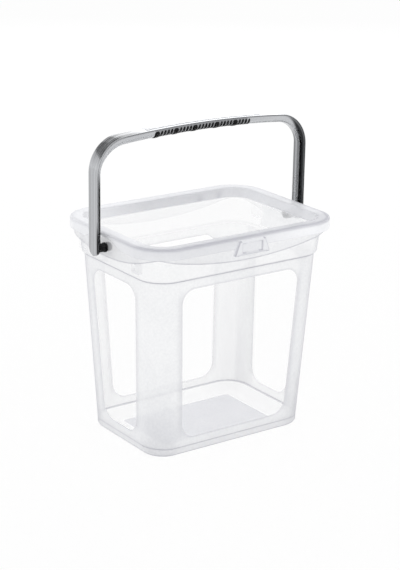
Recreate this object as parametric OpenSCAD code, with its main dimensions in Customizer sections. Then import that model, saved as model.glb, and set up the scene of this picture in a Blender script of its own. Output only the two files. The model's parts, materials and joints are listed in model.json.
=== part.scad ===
// Food storage container of about seven litres: a tapering frosted box with clear
// panes in all four sides, a press-on lid with a sunk clear panel, and a swinging
// bow handle with an inlaid grip, held by a split stud at each end.
// Z is up, the front faces -Y and the origin is the middle of the base on the
// table. Millimetres throughout.

/* [Lid] */
// Half the width of the lid across X
lid_half_width = 125; // [124:0.1:126]
// Half the depth of the lid across Y
lid_half_depth = 93.45; // [93:0.05:94]
// Corner radius of the lid's outer face
lid_corner = 38; // [36:0.5:40]
// Height of the lid's top face above the table
lid_top = 241.5; // [240.5:0.1:242]
// Thickness of the lid's walls and top flange
lid_wall = 1.6; // [1.4:0.1:1.8]
// Width of the flat top flange
flange_width = 14.5; // [14:0.1:15]
// Corner radius of the sunk opening
opening_corner = 23.5; // [22:0.5:25]
// Height of the lower edge of the outer skirt
lid_skirt_low = 230; // [229.5:0.1:230.5]
// Height of the underside of the sunk clear panel
panel_low = 228.6; // [228:0.1:229]
// Thickness of the clear panel
panel_thick = 1.4; // [1.2:0.1:1.6]
// Radius of the arch cut over each pivot
arch_radius = 66; // [60:1:72]
// Height of the top of that arch
arch_top = 239; // [238:0.1:239.4]

/* [Lift tab] */
// How far the tab's frame stands out of the lid's skirt
tab_stand = 2.7; // [2.2:0.1:3]
// Half the width of the tab along its lower edge
tab_low_half = 23.5; // [22:0.5:25]
// Half the width of the tab along its upper edge
tab_high_half = 17; // [16:0.5:19]
// Height of the tab's lower edge
tab_low = 222; // [221:0.5:223]
// Height of the tab's upper edge
tab_high = 238.6; // [238:0.1:239.5]
// Half the width of the sunk field in the tab
field_half = 12.7; // [12:0.1:14]
// Height of the lower edge of the field
field_low = 225.4; // [225:0.1:227]
// Height of the upper edge of the field
field_high = 235.2; // [234:0.1:236]
// Depth of the field below the face of the frame
field_depth = 1.5; // [1:0.1:1.7]

/* [Container] */
// Half width of the base on the table
base_half_width = 97.2; // [96:0.1:98]
// Half depth of the base on the table
base_half_depth = 64.5; // [64:0.1:65.5]
// Corner radius of the base
base_corner = 22; // [21:0.5:24]
// Height of the fine line above the rounded foot
foot_high = 9.9; // [9:0.1:11]
// Half width of the box at the foot line
foot_half_width = 101.4; // [101:0.1:102]
// Half depth of the box at the foot line
foot_half_depth = 68.7; // [68:0.1:69.4]
// Height of the step where the upper band begins
step_high = 200.7; // [199:0.1:202]
// How far the box's sides under the step stand in from the lid's face
step_inset_width = 13.7; // [13.4:0.1:14]
// How far its front and back stand in there
step_inset_depth = 14.75; // [14.45:0.05:15]
// Overhang of the upper band past the box below it
step_out = 2.2; // [1.8:0.1:2.6]
// How far the rim's sides stand in from the lid's face
rim_inset_width = 10; // [9.8:0.1:10.2]
// How far the rim's front and back stand in
rim_inset_depth = 10.25; // [10.05:0.05:10.4]
// Corner radius of the tapering walls
wall_corner = 28; // [27:0.5:29]
// Thickness of the container's walls
wall_thick = 1.8; // [1.6:0.1:2]
// Thickness of the container's floor
floor_thick = 2.2; // [2:0.1:2.6]

/* [Clear panes] */
// Depth of each polished pane below the frosted face
pane_depth = 0.3; // [0.2:0.05:0.4]
// Height of the lower edge of the panes
pane_low = 19.4; // [19:0.1:21]
// Height of the upper edge of the panes
pane_high = 190; // [189:0.1:191]
// Half width of the front pane at its lower edge
front_low_half = 68; // [67:0.1:69]
// Half width of the front pane at its upper edge
front_high_half = 76; // [75:0.1:77]
// Half width of a side pane at its lower edge
side_low_half = 31.3; // [30:0.1:32]
// Half width of a side pane at its upper edge
side_high_half = 41.5; // [41:0.1:42.5]
// Corner radius of the panes
pane_corner = 16; // [14:0.5:17]

/* [Hanging skirt] */
// How far the skirt stands in from the lid's face
skirt_inset = 4.2; // [4:0.1:4.4]
// Corner radius of the skirt
skirt_corner = 34; // [33:0.5:35]
// Thickness of the skirt
skirt_thick = 2.2; // [2:0.1:2.4]
// Height of the underside of the web that carries the skirt
web_low = 228.4; // [228.2:0.1:228.5]
// Lowest point of the skirt's edge at the front
skirt_low_front = 214.9; // [214:0.1:216]
// Radius of the skirt's smile curve at the front
front_smile = 430; // [400:5:460]
// Lowest point of the skirt's edge at the sides
skirt_low_side = 214.4; // [214:0.1:215]
// Radius of the skirt's smile curve at the sides
side_smile = 236; // [220:2:250]
// Distance of each stacking lug's near side from the middle
lug_near = 46; // [44:0.5:48]
// Width of each stacking lug
lug_wide = 12.5; // [11:0.5:14]
// Height of the lower end of the lugs
lug_low = 209.5; // [208:0.5:211]
// Gap between the lid's arches and the pivot housings under them
housing_gap = 1.5; // [1.2:0.1:1.8]

/* [Pivots] */
// Height of the pivot axis above the table
pivot_high = 225; // [224.5:0.1:225.5]
// Diameter of the stud's shaft in the skirt
shaft_diameter = 7; // [6.8:0.1:7.2]
// Radial running clearance between the shaft and its bore
shaft_clearance = 0.05; // [0.03:0.01:0.08]
// Diameter of the stud's shoulder between arm and skirt
shoulder_diameter = 10.8; // [10.6:0.1:11.2]
// Diameter of the split head behind the skirt
head_diameter = 10; // [9.6:0.1:10.4]
// Length of the split head
head_long = 3; // [2.8:0.1:3.2]
// Width of the split through the head
split_wide = 1.5; // [1.3:0.1:1.8]
// End gap of the stud on each side of the skirt wall
end_gap = 0.15; // [0.1:0.05:0.2]
// Diameter of the plug pressed into the arm
plug_diameter = 9; // [8:0.5:9.5]
// Length of the plug in the arm
plug_long = 3; // [2.6:0.1:3.2]

/* [Bow handle] */
// Gap between the lid's face and the arms' inner faces
arm_gap = 7; // [6.8:0.1:7.2]
// Thickness of the arms
arm_thick = 4.4; // [4.3:0.1:4.5]
// Width of the bow's strap along Y
strap_wide = 18; // [17.6:0.1:18.4]
// Height of the middle of the top bar's upper face
bow_top = 347.7; // [347:0.1:348]
// Thickness of the top bar at its middle
bar_thick = 6.5; // [6.3:0.1:6.8]
// Radius of the upper face's slow arch
upper_arch = 1150; // [1100:10:1200]
// Radius of the lower face's slow arch
lower_arch = 1100; // [1080:10:1150]
// Radius of the outer corners
outer_corner = 38; // [37:0.5:39]
// Radius of the inner corners
inner_corner = 28; // [27:0.5:29]
// Radius of the rounded lower end of each arm
tip_radius = 9.2; // [9.1:0.1:9.4]
// How far that end's centre stands above the pivot axis
tip_rise = 1.8; // [1.4:0.1:2.2]
// Height of the textured pad above the upper face
pad_rise = 0.7; // [0.5:0.1:0.9]
// Half length of the textured pad
pad_half_long = 70; // [66:1:74]
// Width of the textured pad along Y
pad_wide = 12.5; // [12:0.5:13.5]

/* [Grip] */
// Left end of the inlaid grip along X
grip_left = -66; // [-68:0.5:-65]
// Right end of the inlaid grip along X
grip_right = 58; // [57:0.5:60]
// Width of the grip's core along Y
grip_core = 13.6; // [13:0.2:14]
// Depth of the side pattern's middle line below the bar's upper face
pattern_drop = 3.7; // [3.5:0.1:3.9]
// Height of the slanting slots
slot_high = 3.4; // [3:0.1:3.6]
// Width of each slanting slot
slot_wide = 2.8; // [2.4:0.1:3]
// Lean of the slots from upright, in degrees
slot_lean = 32; // [26:1:38]
// Diameter of the round finger studs between the slots
dot_diameter = 4; // [3.6:0.1:4.2]
// How far the grip's lobes hang under the bar
lobe_drop = 0.8; // [0.5:0.1:1]

/* [Hidden] */
// Facet counts of cylinders and of the tapering shells
smooth = 96;
shell_smooth = 64;
eps = 0.01;
// Outside of the container under the step, at the rim and round the skirt
step_half_width = lid_half_width - step_inset_width;
step_half_depth = lid_half_depth - step_inset_depth;
rim_half_width = lid_half_width - rim_inset_width;
rim_half_depth = lid_half_depth - rim_inset_depth;
skirt_half_width = lid_half_width - skirt_inset;
skirt_half_depth = lid_half_depth - skirt_inset;
// Opening in the lid and its inner wall
opening_half_width = lid_half_width - flange_width;
opening_half_depth = lid_half_depth - flange_width;
plug_half_width = opening_half_width + lid_wall;
plug_half_depth = opening_half_depth + lid_wall;
plug_corner = opening_corner + lid_wall;
rim_high = lid_top - lid_wall;
// Height over which the band swells out from the step, and where it ends
step_swell = 2.6;
band_high = 222;
web_thick = 1.6;
// Spare height of the skirt's stock before its edge is curved, and its lowest level
skirt_spare = 6;
skirt_floor = skirt_low_side - skirt_spare;
// Depth and middle of the stacking lugs along X
lug_deep = skirt_half_width - skirt_thick - rim_half_width + 2.4;
lug_x = rim_half_width - 2 + lug_deep / 2;
// Outward reach and height of the rim's bead
bead_out = 1.2;
bead_high = 3;
// Radii of the pivot housings' crown and of the hollow under it
crown_radius = arch_radius - housing_gap;
crown_hollow = crown_radius - web_thick;
// Reach of the lid's sealing bead and its height above the panel
seal_out = 0.5;
seal_up = 4;
// Thin slabs that are hulled into the tapering shells
slab_thick = 0.1;
band_corner = wall_corner + 0.6;
rim_corner = wall_corner + 1;
// Two stages of the foot's rounding, and the notch under the foot line
low_round = 2;
low_round_high = 1.2;
high_round = 3.3;
high_round_high = 3.4;
foot_notch = 0.5;
// Skirt's inner face, bore through the skirt and inner face of the arms
skirt_inner = skirt_half_width - skirt_thick;
bore_diameter = shaft_diameter + 2 * shaft_clearance;
arm_inner = lid_half_width + arm_gap;
bow_half_width = arm_inner + arm_thick;
// Height of the middle of the arms' rounded ends
tip_high = pivot_high + tip_rise;
// Lean of the side walls from upright
front_lean = atan((step_half_depth - foot_half_depth) / (step_high - foot_high));
side_lean = atan((step_half_width - foot_half_width) / (step_high - foot_high));
// Centres of the bow's slow arches and corners
upper_centre = bow_top - upper_arch;
lower_centre = bow_top - bar_thick - lower_arch;
outer_x = bow_half_width - outer_corner;
inner_x = arm_inner - inner_corner;
outer_z = upper_centre + sqrt(pow(upper_arch - outer_corner, 2) - pow(outer_x, 2));
inner_z = lower_centre + sqrt(pow(lower_arch - inner_corner, 2) - pow(inner_x, 2));
// Lead-in of the studs' heads
head_lead = 1.6;
pad_arch = upper_arch + pad_rise;
// Skin of the bar left over the grip's core
bar_skin = 1.4;
// Height of the pattern's middle line at the middle of the bar
pattern_high = bow_top - pattern_drop;
// Places of the finger studs along the grip and the slots after each of them
dot_first = -62;
dot_pitch = 25;
dot_count = 5;
slot_count = 4;
slot_pitch = dot_pitch / (slot_count + 1);
// Radius of the lobes under the bar
lobe_radius = 2.6;
// How far the finger studs sit below the bar's side faces
dot_sunk = 0.2;

// Node to build, or all of them

// A block with four upright rounded corners, from z_low upwards
module round_block(half_w, half_d, radius, z_low, high) {
  translate([-half_w + radius, -half_d, z_low])
    cube([2 * (half_w - radius), 2 * half_d, high]);
  translate([-half_w, -half_d + radius, z_low])
    cube([2 * half_w, 2 * (half_d - radius), high]);
  for (sx = [-1, 1])
    for (sy = [-1, 1])
      translate([sx * (half_w - radius), sy * (half_d - radius), z_low])
        cylinder(r = radius, h = high, $fn = smooth);
}

// The four corner posts of one thin slab, for hulling slabs into a tapering shell
module slab(half_w, half_d, radius, z_low) {
  for (sx = [-1, 1])
    for (sy = [-1, 1])
      translate([sx * (half_w - radius), sy * (half_d - radius), z_low])
        cylinder(r = radius, h = slab_thick, $fn = shell_smooth);
}

// Outside of the rounded foot
module foot_shape() {
  hull() {
    slab(base_half_width, base_half_depth, base_corner, 0);
    slab(base_half_width + low_round, base_half_depth + low_round,
         base_corner + low_round, low_round_high);
    slab(base_half_width + high_round, base_half_depth + high_round,
         base_corner + high_round, high_round_high);
    slab(foot_half_width - foot_notch, foot_half_depth - foot_notch,
         wall_corner - foot_notch, foot_high);
  }
}

// Outside of the tapering box between foot and step
module box_shape() {
  hull() {
    slab(foot_half_width, foot_half_depth, wall_corner, foot_high);
    slab(step_half_width, step_half_depth, wall_corner, step_high);
  }
}

// Outside of the upper band, swelling out over the step
module band_shape() {
  hull() {
    slab(step_half_width, step_half_depth, wall_corner, step_high);
    slab(step_half_width + step_out, step_half_depth + step_out,
         band_corner, step_high + step_swell);
    slab(rim_half_width, rim_half_depth, rim_corner, band_high);
  }
}

// Hollow below the step, with a rounded floor edge
module box_hollow() {
  t = wall_thick;
  hull() {
    slab(base_half_width - t, base_half_depth - t, base_corner - t, floor_thick);
    slab(base_half_width + high_round - t, base_half_depth + high_round - t,
         base_corner + high_round - t, floor_thick + high_round_high);
    slab(foot_half_width - t, foot_half_depth - t, wall_corner - t, foot_high);
    slab(step_half_width - t, step_half_depth - t, wall_corner - t, step_high + 1);
  }
}

// Hollow of the upper band
module band_hollow() {
  t = wall_thick;
  hull() {
    slab(step_half_width - t, step_half_depth - t, wall_corner - t, step_high);
    slab(step_half_width + step_out - t, step_half_depth + step_out - t,
         band_corner - t, step_high + step_swell);
    slab(rim_half_width - t, rim_half_depth - t, rim_corner - t, band_high);
  }
}

// A thin pane-shaped block, upright in the XZ plane, sunk to y = 0
module pane_block(low_half, high_half, low, high, radius, deep) {
  slope = (high_half - low_half) / (high - low);
  rotate([90, 0, 0])
    linear_extrude(height = deep)
      union() {
        for (s = [-1, 1]) {
          translate([s * (low_half + slope * radius - radius), low + radius])
            circle(r = radius, $fn = smooth);
          translate([s * (high_half - slope * radius - radius), high - radius])
            circle(r = radius, $fn = smooth);
        }
        polygon([
          [-(low_half + slope * radius), low + radius],
          [low_half + slope * radius, low + radius],
          [high_half - slope * radius, high - radius],
          [-(high_half - slope * radius), high - radius]
        ]);
        polygon([
          [-(low_half + slope * radius - radius), low],
          [low_half + slope * radius - radius, low],
          [high_half - slope * radius - radius, high],
          [-(high_half - slope * radius - radius), high]
        ]);
      }
}

// One pane recess in a wall that leans outwards from its foot line
module pane_cut(wall_at_foot, lean, low_half, high_half) {
  translate([0, -wall_at_foot + pane_depth, foot_high])
    rotate([lean, 0, 0])
      translate([0, 0, -foot_high])
        pane_block(low_half, high_half, pane_low, pane_high, pane_corner, pane_depth + step_out);
}

// The ring that becomes the skirt, before its lower edge is curved
module skirt_ring() {
  difference() {
    round_block(skirt_half_width, skirt_half_depth, skirt_corner,
                skirt_floor, web_low - skirt_floor + eps);
    round_block(skirt_inner, skirt_half_depth - skirt_thick, skirt_corner - skirt_thick,
                skirt_floor - 1, web_low - skirt_floor + 3);
  }
}

// Skirt with the smile-shaped lower edge on all four sides
module smile_skirt() {
  corner_x = skirt_half_width - skirt_corner + skirt_corner * sin(45);
  side_x = corner_x + skirt_corner / 2;
  intersection() {
    skirt_ring();
    union() {
      // front and back
      intersection() {
        translate([-corner_x, -skirt_half_depth - 1, skirt_floor - 1])
          cube([2 * corner_x, 2 * skirt_half_depth + 2, web_low]);
        translate([0, -skirt_half_depth - 1, skirt_low_front + front_smile])
          rotate([-90, 0, 0])
            cylinder(r = front_smile, h = 2 * skirt_half_depth + 2, $fn = 256);
      }
      // left and right
      for (s = [-1, 1])
        intersection() {
          translate([s * side_x - skirt_corner / 2, -skirt_half_depth, skirt_floor - 1])
            cube([skirt_corner, 2 * skirt_half_depth, web_low]);
          translate([s * side_x, 0, skirt_low_side + side_smile])
            rotate([0, 90, 0])
              cylinder(r = side_smile, h = skirt_corner, center = true, $fn = 256);
        }
    }
  }
}

// Segment of a cylinder along X, centred under the lid's arch on one side
module crown(side, radius, x_low, x_high) {
  intersection() {
    translate([side * (x_low + x_high) / 2, 0, arch_top - arch_radius])
      rotate([0, 90, 0])
        cylinder(r = radius, h = x_high - x_low, center = true, $fn = 256);
    translate([side * (x_low + x_high) / 2 - (x_high - x_low), -radius, web_low - eps])
      cube([2 * (x_high - x_low), 2 * radius, radius]);
  }
}

// Frosted box with rim, web, hanging skirt, pivot housings and lugs
module container() {
  t = wall_thick;
  color([0.93, 0.94, 0.95, 0.45])
    difference() {
      union() {
        foot_shape();
        box_shape();
        band_shape();
        // rim wall inside the lid, with its top bead
        round_block(rim_half_width, rim_half_depth, rim_corner,
                    band_high, rim_high - band_high);
        round_block(rim_half_width + bead_out, rim_half_depth + bead_out,
                    rim_corner + bead_out, rim_high - bead_high, bead_high);
        // web that carries the skirt
        round_block(skirt_half_width, skirt_half_depth, skirt_corner,
                    web_low, web_thick);
        smile_skirt();
        // housings that carry the skirt up over the pivots
        for (s = [-1, 1])
          crown(s, crown_radius, rim_half_width - wall_thick / 2, skirt_half_width);
        // stacking lugs between wall and skirt
        for (s = [-1, 1])
          for (y = [-lug_near - lug_wide, lug_near])
            translate([s * lug_x - lug_deep / 2, y, lug_low])
              cube([lug_deep, lug_wide, web_low - lug_low]);
      }
      box_hollow();
      band_hollow();
      round_block(rim_half_width - t, rim_half_depth - t, rim_corner - t,
                  band_high, lid_top - band_high);
      // hollows under the housings, for the studs' heads
      for (s = [-1, 1])
        crown(s, crown_hollow, rim_half_width, skirt_inner);
      // clear panes polished into the four walls
      for (turn = [0, 180])
        rotate([0, 0, turn])
          pane_cut(foot_half_depth, front_lean, front_low_half, front_high_half);
      for (turn = [90, 270])
        rotate([0, 0, turn])
          pane_cut(foot_half_width, side_lean, side_low_half, side_high_half);
      // pivot bores through the skirt
      for (s = [-1, 1])
        translate([s * (skirt_inner + skirt_thick / 2), 0, pivot_high])
          rotate([0, 90, 0])
            cylinder(d = bore_diameter, h = skirt_thick + 1, center = true, $fn = smooth);
    }
}

// Lift tab: a tapering frame with a sunk field, hanging over the container's skirt
module lift_tab() {
  face_y = -lid_half_depth - tab_stand;
  difference() {
    translate([0, face_y, 0])
      rotate([90, 0, 0])
        mirror([0, 0, 1])
          linear_extrude(height = tab_stand + lid_wall / 2)
            polygon([
              [-tab_low_half, tab_low],
              [tab_low_half, tab_low],
              [tab_high_half, tab_high],
              [-tab_high_half, tab_high]
            ]);
    translate([-field_half, face_y - 1, field_low])
      cube([2 * field_half, field_depth + 1, field_high - field_low]);
  }
}

// Sealing bead round the lid's plug wall
module sealing_bead() {
  round_block(plug_half_width + seal_out, plug_half_depth + seal_out, plug_corner + seal_out,
              panel_low + seal_up, lid_wall);
}

// Press-on lid: flange, outer skirt, plug wall, sunk clear panel and lift tab
module lid() {
  color([0.95, 0.96, 0.97, 0.4])
    difference() {
      union() {
        round_block(lid_half_width, lid_half_depth, lid_corner,
                    lid_skirt_low, lid_top - lid_skirt_low);
        round_block(plug_half_width, plug_half_depth, plug_corner,
                    panel_low, lid_top - panel_low - 1);
        sealing_bead();
        lift_tab();
      }
      // sunk opening down to the clear panel
      round_block(opening_half_width, opening_half_depth, opening_corner,
                  panel_low + panel_thick, lid_top - panel_low);
      // channel that goes over the container's rim
      difference() {
        round_block(lid_half_width - lid_wall, lid_half_depth - lid_wall,
                    lid_corner - lid_wall, tab_low, rim_high - tab_low);
        round_block(plug_half_width, plug_half_depth, plug_corner,
                    panel_low, lid_top - panel_low);
        sealing_bead();
      }
      // arches over the pivots
      for (s = [-1, 1])
        translate([s * lid_half_width, 0, arch_top - arch_radius])
          rotate([0, 90, 0])
            cylinder(r = arch_radius, h = 4 * lid_wall, center = true, $fn = 256);
    }
}

// Upper outline of the bow in the XZ plane, down to the height of its corners
module bow_outer(wide) {
  turned_cylinder(outer_x, outer_z, outer_corner, wide);
  turned_cylinder(-outer_x, outer_z, outer_corner, wide);
  translate([-bow_half_width, -wide / 2, tip_high])
    cube([2 * bow_half_width, wide, outer_z - tip_high]);
  intersection() {
    turned_cylinder(0, upper_centre, upper_arch, wide);
    wedge(upper_centre, outer_x, outer_z, wide);
  }
}

// Space under the bow in the XZ plane
module bow_inner(wide) {
  turned_cylinder(inner_x, inner_z, inner_corner, wide);
  turned_cylinder(-inner_x, inner_z, inner_corner, wide);
  translate([-arm_inner, -wide / 2, pivot_high - tip_radius])
    cube([2 * arm_inner, wide, inner_z - pivot_high + tip_radius]);
  intersection() {
    turned_cylinder(0, lower_centre, lower_arch, wide);
    wedge(lower_centre, inner_x, inner_z, wide);
  }
}

// A cylinder along Y at a place in the XZ plane
module turned_cylinder(x, z, radius, wide) {
  translate([x, 0, z])
    rotate([90, 0, 0])
      cylinder(r = radius, h = wide, center = true, $fn = 256);
}

// Wedge from a far centre through the two corner centres, cut at corner height
module wedge(centre, x, z, wide) {
  reach = 1.12;
  down = 20;
  rotate([90, 0, 0])
    linear_extrude(height = wide, center = true)
      polygon([
        [-x, z - down],
        [x, z - down],
        [x, z],
        [x * reach, centre + (z - centre) * reach],
        [-x * reach, centre + (z - centre) * reach],
        [-x, z]
      ]);
}

// Slanting slots and round holes through the bar's side walls
module grip_windows(wide, grow) {
  for (n = [0 : dot_count - 1]) {
    at = dot_first + n * dot_pitch;
    turned_cylinder(at, pattern_z(at), dot_diameter / 2 + grow, wide);
    for (k = [1 : slot_count]) {
      along = at + k * slot_pitch;
      translate([along, 0, pattern_z(along)])
        rotate([0, slot_lean, 0])
          cube([slot_wide * cos(slot_lean) + 2 * grow, wide, slot_high + 2 * grow], center = true);
    }
  }
}

// Height of the pattern's middle line, following the lower arch
function pattern_z(x) = pattern_high - lower_arch + sqrt(pow(lower_arch, 2) - x * x);

// Core of the grip inside the bar
module grip_core_shape(grow) {
  intersection() {
    difference() {
      turned_cylinder(0, upper_centre, upper_arch - bar_skin, grip_core);
      turned_cylinder(0, lower_centre, lower_arch - grow, grip_core + 2);
    }
    translate([grip_left, -grip_core / 2, bow_top - 3 * bar_thick])
      cube([grip_right - grip_left, grip_core, 4 * bar_thick]);
  }
}

// Bow handle: strap arms, arched top bar and textured pad
module handle() {
  color([0.62, 0.63, 0.65])
    difference() {
      union() {
        difference() {
          bow_outer(strap_wide);
          bow_inner(strap_wide + 2);
        }
        // rounded lower ends
        for (s = [-1, 1])
          translate([s * (bow_half_width - arm_thick / 2), 0, tip_high])
            rotate([0, 90, 0])
              cylinder(r = tip_radius, h = arm_thick, center = true, $fn = smooth);
        // pad along the upper face
        intersection() {
          difference() {
            turned_cylinder(0, upper_centre, pad_arch, pad_wide);
            turned_cylinder(0, upper_centre, upper_arch - 1, pad_wide + 2);
          }
          translate([-pad_half_long, -pad_wide / 2, bow_top - 3 * bar_thick])
            cube([2 * pad_half_long, pad_wide, 4 * bar_thick]);
        }
      }
      grip_core_shape(1);
      grip_windows(strap_wide + 2, 0);
      // holes for the studs' plugs
      for (s = [-1, 1])
        translate([s * (arm_inner + plug_long / 2), 0, pivot_high])
          rotate([0, 90, 0])
            cylinder(d = plug_diameter, h = plug_long, center = true, $fn = smooth);
    }
}

// Dark inlaid grip: a core in the bar with lobes that fill the side windows
module grip_insert() {
  color([0.05, 0.05, 0.06])
    union() {
      grip_core_shape(0);
      // lobes through the round holes, hanging a little under the bar
      for (n = [0 : dot_count - 1]) {
        at = dot_first + n * dot_pitch;
        turned_cylinder(at, pattern_z(at), dot_diameter / 2, strap_wide - 2 * dot_sunk);
        turned_cylinder(at, pattern_z(at) - pattern_high + bow_top - bar_thick - lobe_drop
                        + lobe_radius, lobe_radius, grip_core);
      }
    }
}

// One stud: plug in the arm, shoulder, shaft through the skirt and split head
module stud(side) {
  shoulder_in = skirt_half_width + end_gap;
  head_out = skirt_inner - end_gap;
  color([0.04, 0.04, 0.05])
    translate([0, 0, pivot_high])
      rotate([0, side * 90, 0])
        difference() {
          union() {
            translate([0, 0, arm_inner])
              cylinder(d = plug_diameter, h = plug_long, $fn = smooth);
            translate([0, 0, shoulder_in])
              cylinder(d = shoulder_diameter, h = arm_inner - shoulder_in, $fn = smooth);
            translate([0, 0, head_out - eps])
              cylinder(d = shaft_diameter, h = shoulder_in - head_out + 2 * eps, $fn = smooth);
            translate([0, 0, head_out - head_long])
              cylinder(d1 = head_diameter - head_lead, d2 = head_diameter, h = head_long,
                       $fn = smooth);
          }
          translate([-head_diameter, -split_wide / 2, head_out - head_long - 1])
            cube([2 * head_diameter, split_wide, head_long + skirt_thick]);
        }
}

// Left stud, at -X
module stud_left() {
  stud(-1);
}

// Right stud, at +X
module stud_right() {
  stud(1);
}

container();
lid();
handle();
grip_insert();
stud_left();
stud_right();
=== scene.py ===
import json
import math
import bpy
import numpy as np
from mathutils import Matrix, Vector

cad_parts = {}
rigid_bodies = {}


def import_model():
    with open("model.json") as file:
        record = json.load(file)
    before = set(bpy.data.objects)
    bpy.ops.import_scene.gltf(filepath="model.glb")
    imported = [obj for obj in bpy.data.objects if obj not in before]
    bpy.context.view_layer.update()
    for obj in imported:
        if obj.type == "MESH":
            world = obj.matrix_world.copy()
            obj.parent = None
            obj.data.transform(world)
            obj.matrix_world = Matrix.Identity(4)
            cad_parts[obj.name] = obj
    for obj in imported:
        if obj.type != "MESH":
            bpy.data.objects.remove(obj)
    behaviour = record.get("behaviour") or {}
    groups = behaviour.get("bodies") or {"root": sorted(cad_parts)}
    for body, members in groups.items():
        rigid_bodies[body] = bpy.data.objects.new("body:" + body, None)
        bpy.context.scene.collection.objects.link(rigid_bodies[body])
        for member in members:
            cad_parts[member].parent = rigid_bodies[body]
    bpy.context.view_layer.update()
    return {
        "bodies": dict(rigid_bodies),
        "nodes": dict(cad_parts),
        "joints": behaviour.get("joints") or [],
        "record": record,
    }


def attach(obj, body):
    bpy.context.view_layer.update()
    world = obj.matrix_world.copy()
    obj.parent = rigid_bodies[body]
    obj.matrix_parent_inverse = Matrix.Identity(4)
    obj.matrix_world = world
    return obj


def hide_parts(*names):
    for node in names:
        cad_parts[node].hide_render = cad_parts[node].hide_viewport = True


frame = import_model()
print("frame loaded:", sorted(frame["nodes"]))

mm = 0.001


# surfaces that the pieces share

def rounded(stations, bends, steps=5):
    # A profile whose corners are eased: corner B between A and C becomes the curve
    # (1-t)^2 P + 2t(1-t) B + t^2 Q, with P and Q at the given distance from B.
    out = []
    rows = [np.asarray(s, float) for s in stations]
    for i, b in enumerate(rows):
        ease = bends.get(i, 0.0)
        if ease == 0.0 or i in (0, len(rows) - 1):
            out.append(b)
            continue
        a, c = rows[i - 1], rows[i + 1]
        la, lc = np.linalg.norm(a - b), np.linalg.norm(c - b)
        p = b + (a - b) * min(ease / la, 0.48)
        q = b + (c - b) * min(ease / lc, 0.48)
        t = np.linspace(0, 1, steps)[:, None]
        out.extend((1 - t) ** 2 * p + 2 * t * (1 - t) * b + t ** 2 * q)
    return np.array(out)


def ringPoints(halfWide, halfDeep, corner, cornerSteps, sideSteps):
    # Points round a rounded rectangle for every profile row at once: quarter arcs
    # centre + r (cos a, sin a) at the corners, straight runs between them.
    w, d, r = (np.asarray(v, float)[:, None] for v in (halfWide, halfDeep, corner))
    arc = np.linspace(0, math.pi / 2, cornerSteps + 1)[None, :]
    xs, ys = [], []
    for sx, sy, start in ((1, -1, -math.pi / 2), (1, 1, 0), (-1, 1, math.pi / 2), (-1, -1, math.pi)):
        xs.append(sx * (w - r) + r * np.cos(start + arc))
        ys.append(sy * (d - r) + r * np.sin(start + arc))
    run = np.linspace(0, 1, sideSteps + 1)[None, 1:-1]
    px, py = [], []
    for k in range(4):
        x0, y0 = xs[k][:, -1:], ys[k][:, -1:]
        x1, y1 = xs[(k + 1) % 4][:, :1], ys[(k + 1) % 4][:, :1]
        px += [xs[k], x0 + (x1 - x0) * run]
        py += [ys[k], y0 + (y1 - y0) * run]
    return np.concatenate(px, 1), np.concatenate(py, 1)


def gridFaces(rows, cols, wrapCols=True, flip=False):
    # Quads of a grid stored row by row, with each row joined end to end or left open.
    r, c = np.arange(rows - 1), np.arange(cols if wrapCols else cols - 1)
    rr, cc = np.meshgrid(r, c, indexing="ij")
    r1, c1 = rr + 1, (cc + 1) % cols
    quads = np.stack([rr * cols + cc, rr * cols + c1, r1 * cols + c1, r1 * cols + cc], -1).reshape(-1, 4)
    return quads[:, ::-1] if flip else quads


def fanFaces(pole, ring, flip=False):
    # Triangles from one pole point to a closed ring.
    tris = np.stack([np.full(len(ring), pole), ring, np.roll(ring, -1)], -1)
    return tris[:, ::-1] if flip else tris


def closedFaces(rows, cols, flip=False):
    # Faces of a tube of rings whose two poles come last in the list of points.
    ring = np.arange(cols)
    return [gridFaces(rows, cols, flip=flip), fanFaces(rows * cols, ring, not flip),
            fanFaces(rows * cols + 1, ring + (rows - 1) * cols, flip)]


def smoothStep(value, low, high):
    # 3t^2 - 2t^3 between the two limits.
    t = np.clip((value - low) / (high - low), 0, 1)
    return t * t * (3 - 2 * t)


def addObject(name, data):
    # An object of the scene from a mesh, a lamp or a camera.
    made = bpy.data.objects.new(name, data)
    bpy.context.scene.collection.objects.link(made)
    return made


def makePiece(name, parts, body, replaced, smoothAngle=35):
    # parts holds (points in mm, list of face arrays, {attribute: value for each point}),
    # and every part is a closed shell.
    points, faces, marks, start = [], [], {}, 0
    total = sum(len(p[0]) for p in parts)
    for pts, faceSets, values in parts:
        points.append(np.asarray(pts, float) * mm)
        for fs in faceSets:
            faces += (np.asarray(fs) + start).tolist()
        for key, value in values.items():
            marks.setdefault(key, np.zeros(total))[start:start + len(pts)] = value
        start += len(pts)
    mesh = bpy.data.meshes.new(name)
    mesh.from_pydata(np.concatenate(points).tolist(), [], faces)
    for key, values in marks.items():
        mesh.attributes.new(key, "FLOAT", "POINT").data.foreach_set("value", values.astype(np.float32))
    mesh.update()
    piece = addObject(name, mesh)
    shadeByAngle(piece, smoothAngle)
    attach(piece, body)
    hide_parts(*replaced)
    return piece


def shadeByAngle(piece, degrees):
    # Smooth shading, with edges sharper than the angle kept crisp.
    mesh = piece.data
    mesh.polygons.foreach_set("use_smooth", np.ones(len(mesh.polygons), bool))
    mesh.set_sharp_from_angle(angle=math.radians(degrees))


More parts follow.
